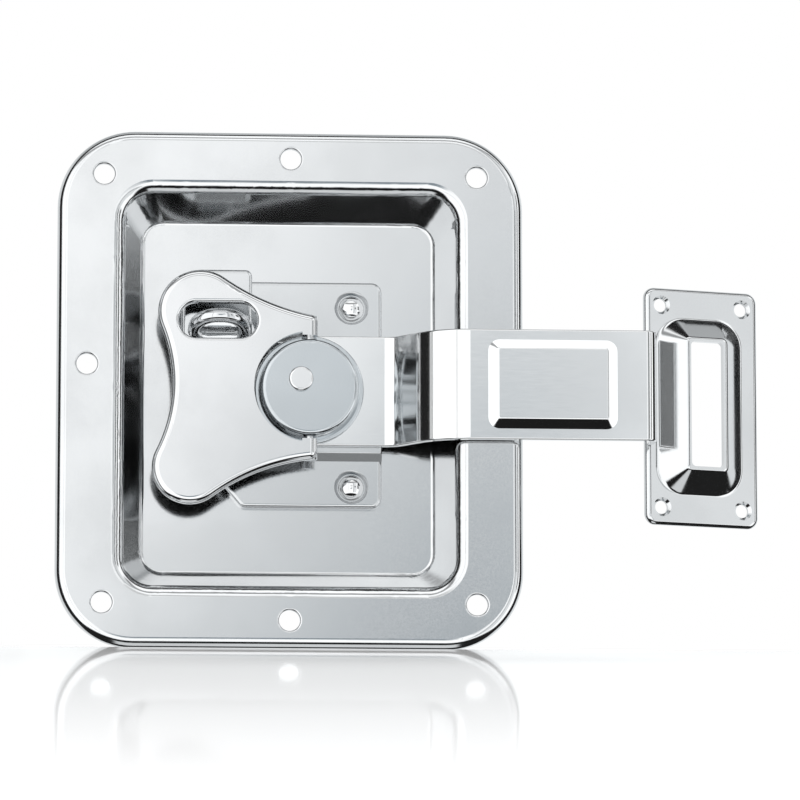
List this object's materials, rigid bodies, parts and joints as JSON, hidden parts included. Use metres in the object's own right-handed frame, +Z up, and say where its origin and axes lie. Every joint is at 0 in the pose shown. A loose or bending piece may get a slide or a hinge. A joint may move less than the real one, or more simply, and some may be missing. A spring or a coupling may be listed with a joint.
{
  "type": "butterfly latch",
  "caption": "Recessed butterfly latch: a folding wing turns an off-centre hub that pulls a hooked arm towards a slotted keeper.",
  "frame": {"origin": "centre of the flange's four corner holes, on the back face of the flange sheet", "axes": "+X right towards the keeper, +Y into the panel, +Z up"},
  "size_m": [0.1672, 0.023, 0.1236],
  "materials": {
    "pan_sheet": "bright plated sheet, polished",
    "plate_sheet": "bright plated sheet, polished",
    "rivet": "bright plated rivet heads",
    "wire": "bright plated wire",
    "hub": "bright plated, fine turned face",
    "wing": "bright plated, smooth",
    "pin": "bright steel pin",
    "arm": "bright plated strip, polished",
    "keeper": "bright plated sheet, polished",
    "washer": "spring steel, plated"
  },
  "bodies": {
    "root": {"pan": "pan_sheet", "base_plate": "plate_sheet", "base_rivet_upper_right": "rivet", "base_rivet_lower_right": "rivet", "base_rivet_upper_left": "rivet", "base_rivet_lower_left": "rivet", "staple": "wire", "pivot_rivet": "rivet", "spring_washer": "washer", "keeper": "keeper"},
    "hub": {"hub_cap": "hub", "cam_disc": "hub", "hinge_pin_upper": "pin", "hinge_pin_lower": "pin"},
    "wing": {"wing": "wing"},
    "arm": {"hook_arm": "arm"}
  },
  "joints": [
    {"name": "hub_turn", "type": "hinge", "parent": "root", "child": "hub", "pos_m": [0.00265, 0, 0.00265], "axis": [0, -1, 0], "range_deg": [0, 180]},
    {"name": "wing_lift", "type": "hinge", "parent": "hub", "child": "wing", "pos_m": [0.00479, 0.0035, 0.00085], "axis": [0, 0, 1], "range_deg": [0, 90]},
    {"name": "arm_turn", "type": "hinge", "parent": "hub", "child": "arm", "pos_m": [0.00479, 0.0068, 0.00085], "axis": [0, -1, 0], "range_deg": [-180, 0]}
  ],
  "couplings": [
    {"joint": "wing_lift", "follows": "hub_turn", "ratio": 0.5},
    {"joint": "arm_turn", "follows": "hub_turn", "ratio": -1}
  ]
}
